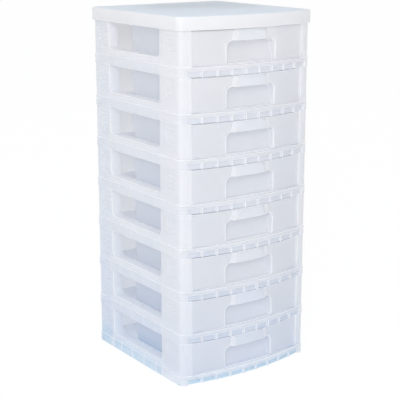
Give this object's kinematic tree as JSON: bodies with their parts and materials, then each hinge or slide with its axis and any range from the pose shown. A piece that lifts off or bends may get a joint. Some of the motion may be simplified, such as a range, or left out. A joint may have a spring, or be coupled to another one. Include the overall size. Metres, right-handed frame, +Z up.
{
  "type": "plastic drawer tower",
  "caption": "Free-standing tower of stacked translucent plastic frames with bowed shallow drawers that slide out, side windows and a flat lid.",
  "frame": {"origin": "on the floor, under the middle of the tower's bounding box", "axes": "+Z up, -Y towards the drawers' fronts, +X to the right of someone who faces the drawers"},
  "size_m": [0.4, 0.4229, 0.896],
  "materials": {
    "frame_plastic": "translucent milky moulded polypropylene, satin",
    "drawer_plastic": "translucent frosted moulded polypropylene, satin",
    "lid_plastic": "translucent bluish moulded polypropylene, satin"
  },
  "bodies": {
    "tower": {"tier_frame_1": "frame_plastic", "tier_frame_2": "frame_plastic", "tier_frame_3": "frame_plastic", "tier_frame_4": "frame_plastic", "tier_frame_5": "frame_plastic", "tier_frame_6": "frame_plastic", "tier_frame_7": "frame_plastic", "tier_frame_8": "frame_plastic", "lid": "lid_plastic"},
    "drawer_1": {"drawer_1": "drawer_plastic"},
    "drawer_2": {"drawer_2": "drawer_plastic"},
    "drawer_3": {"drawer_3": "drawer_plastic"},
    "drawer_4": {"drawer_4": "drawer_plastic"},
    "drawer_5": {"drawer_5": "drawer_plastic"},
    "drawer_6": {"drawer_6": "drawer_plastic"},
    "drawer_7": {"drawer_7": "drawer_plastic"},
    "drawer_8": {"drawer_8": "drawer_plastic"}
  },
  "joints": [
    {"name": "drawer_1_slide", "type": "slide", "parent": "tower", "child": "drawer_1", "axis": [0, -1, 0], "range_m": [0, 0.2]},
    {"name": "drawer_2_slide", "type": "slide", "parent": "tower", "child": "drawer_2", "axis": [0, -1, 0], "range_m": [0, 0.2]},
    {"name": "drawer_3_slide", "type": "slide", "parent": "tower", "child": "drawer_3", "axis": [0, -1, 0], "range_m": [0, 0.2]},
    {"name": "drawer_4_slide", "type": "slide", "parent": "tower", "child": "drawer_4", "axis": [0, -1, 0], "range_m": [0, 0.2]},
    {"name": "drawer_5_slide", "type": "slide", "parent": "tower", "child": "drawer_5", "axis": [0, -1, 0], "range_m": [0, 0.2]},
    {"name": "drawer_6_slide", "type": "slide", "parent": "tower", "child": "drawer_6", "axis": [0, -1, 0], "range_m": [0, 0.2]},
    {"name": "drawer_7_slide", "type": "slide", "parent": "tower", "child": "drawer_7", "axis": [0, -1, 0], "range_m": [0, 0.2]},
    {"name": "drawer_8_slide", "type": "slide", "parent": "tower", "child": "drawer_8", "axis": [0, -1, 0], "range_m": [0, 0.2]}
  ]
}
